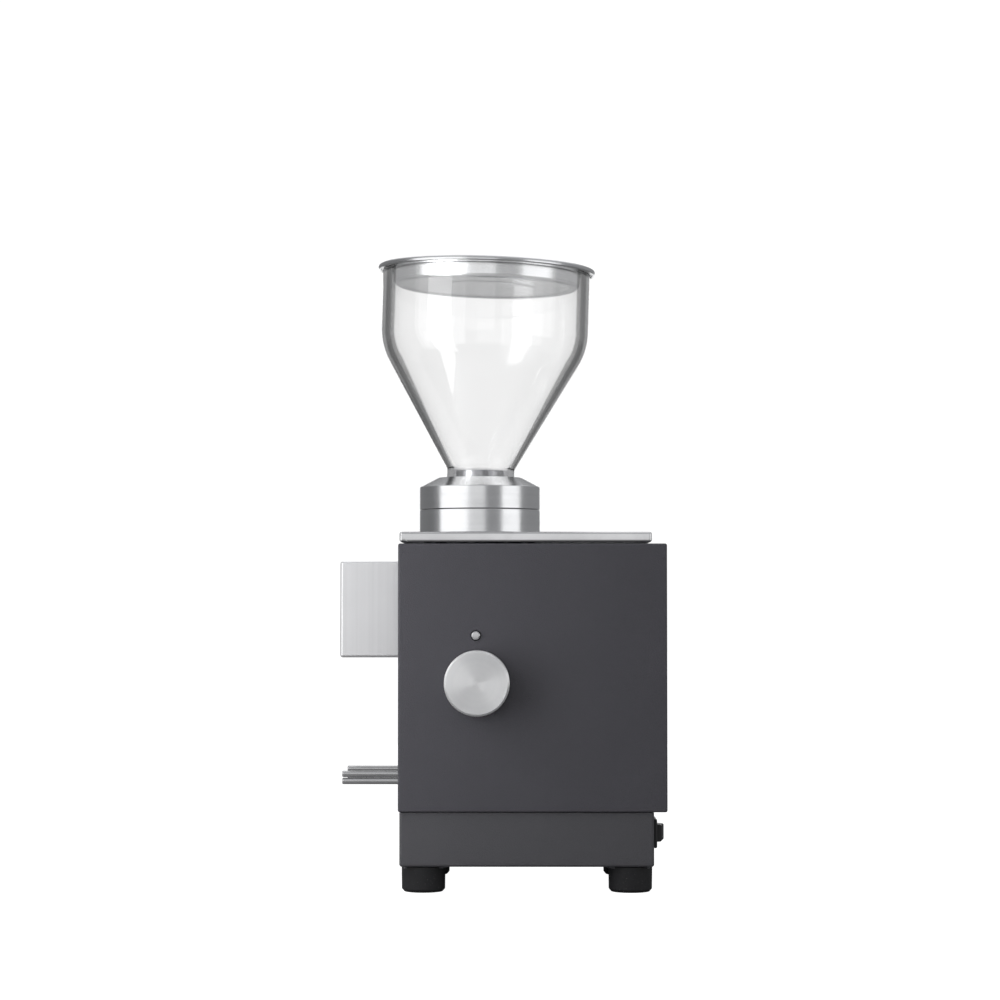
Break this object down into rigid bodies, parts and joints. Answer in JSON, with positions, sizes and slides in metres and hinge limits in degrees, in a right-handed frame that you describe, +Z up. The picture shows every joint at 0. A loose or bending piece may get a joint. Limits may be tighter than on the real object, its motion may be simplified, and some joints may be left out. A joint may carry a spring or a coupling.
{
  "type": "burr coffee grinder",
  "caption": "Countertop burr coffee grinder with a boxy steel body, clear cone hopper with lid, turning grind ring, side dose knob, front spout and portafilter fork.",
  "frame": {"origin": "on the floor under the middle of the whole object's box", "axes": "+Z up, -X towards the spout and fork, -Y towards the dose knob"},
  "size_m": [0.1876, 0.1436, 0.3632],
  "materials": {
    "powder_coat": "fine textured powder coat, satin",
    "rubber": "matte",
    "zinc_steel": "zinc plated",
    "polished_steel": "polished",
    "brushed_steel": "brushed",
    "cast_aluminium": "as cast",
    "turned_aluminium": "fine turned",
    "tool_steel": "ground",
    "copper_winding": "lacquered winding",
    "black_plastic": "satin",
    "white_plastic": "satin",
    "circuit_board": "solder mask",
    "clear_plastic": "clear, polished"
  },
  "bodies": {
    "housing": {"base_shell": "powder_coat", "bearing_lower": "tool_steel", "bearing_upper": "tool_steel", "bottom_plate": "powder_coat", "chamber_screw_1": "zinc_steel", "chamber_screw_2": "zinc_steel", "chamber_screw_3": "zinc_steel", "chamber_screw_4": "zinc_steel", "chute": "brushed_steel", "control_board": "circuit_board", "foot_front_left": "rubber", "foot_front_right": "rubber", "foot_rear_left": "rubber", "foot_rear_right": "rubber", "foot_screw_front_left": "zinc_steel", "foot_screw_front_right": "zinc_steel", "foot_screw_rear_left": "zinc_steel", "foot_screw_rear_right": "zinc_steel", "fork_bracket": "cast_aluminium", "fork_rod_left_lower": "polished_steel", "fork_rod_left_upper": "polished_steel", "fork_rod_right_lower": "polished_steel", "fork_rod_right_upper": "polished_steel", "front_panel": "powder_coat", "grinding_chamber": "cast_aluminium", "index_ring": "black_plastic", "index_stud": "polished_steel", "lower_collar": "turned_aluminium", "motor_bell_lower": "cast_aluminium", "motor_bell_upper": "cast_aluminium", "motor_lead": "black_plastic", "motor_stator": "copper_winding", "power_inlet": "black_plastic", "rear_panel": "powder_coat", "run_capacitor": "white_plastic", "side_panel_left": "powder_coat", "side_panel_right": "powder_coat", "switch_housing": "black_plastic", "timer_module": "white_plastic", "top_plate": "zinc_steel", "top_tray": "polished_steel"},
    "burr_rotor": {"motor_shaft": "tool_steel", "motor_rotor": "tool_steel", "cooling_fan": "black_plastic", "drive_disc": "zinc_steel", "lower_burr": "tool_steel", "burr_nut": "zinc_steel"},
    "grind_ring": {"grind_ring": "turned_aluminium"},
    "burr_carrier": {"burr_carrier": "zinc_steel", "upper_burr": "tool_steel"},
    "hopper": {"hopper": "clear_plastic", "hopper_seal": "rubber"},
    "hopper_lid": {"hopper_lid": "turned_aluminium"},
    "dose_knob": {"dose_knob": "turned_aluminium", "knob_shaft": "zinc_steel"},
    "switch_rocker": {"switch_rocker": "black_plastic"}
  },
  "joints": [
    {"name": "burr_spin", "type": "hinge", "parent": "housing", "child": "burr_rotor", "pos_m": [-0.013, 0.00775, 0.1], "axis": [0, 0, 1], "continuous": true},
    {"name": "grind_adjust", "type": "hinge", "parent": "housing", "child": "grind_ring", "pos_m": [-0.013, 0.00775, 0.22], "axis": [0, 0, 1], "range_deg": [-150, 150]},
    {"name": "burr_lift", "type": "slide", "parent": "housing", "child": "burr_carrier", "axis": [0, 0, 1], "range_m": [-0.00065, 0.00065]},
    {"name": "hopper_lift", "type": "slide", "parent": "grind_ring", "child": "hopper", "axis": [0, 0, 1], "range_m": [0, 0.06]},
    {"name": "lid_lift", "type": "slide", "parent": "hopper", "child": "hopper_lid", "axis": [0.0297, 0, 0.9996], "range_m": [0, 0.06]},
    {"name": "dose_turn", "type": "hinge", "parent": "housing", "child": "dose_knob", "pos_m": [-0.0136, -0.05625, 0.1186], "axis": [0, -1, 0], "range_deg": [-140, 140]},
    {"name": "switch_rock", "type": "hinge", "parent": "housing", "child": "switch_rocker", "pos_m": [0.0863, -0.03225, 0.0326], "axis": [0, 0, 1], "range_deg": [0, 16]}
  ],
  "couplings": [
    {"joint": "burr_lift", "follows": "grind_adjust", "m_per_rad": 0.00023873}
  ]
}
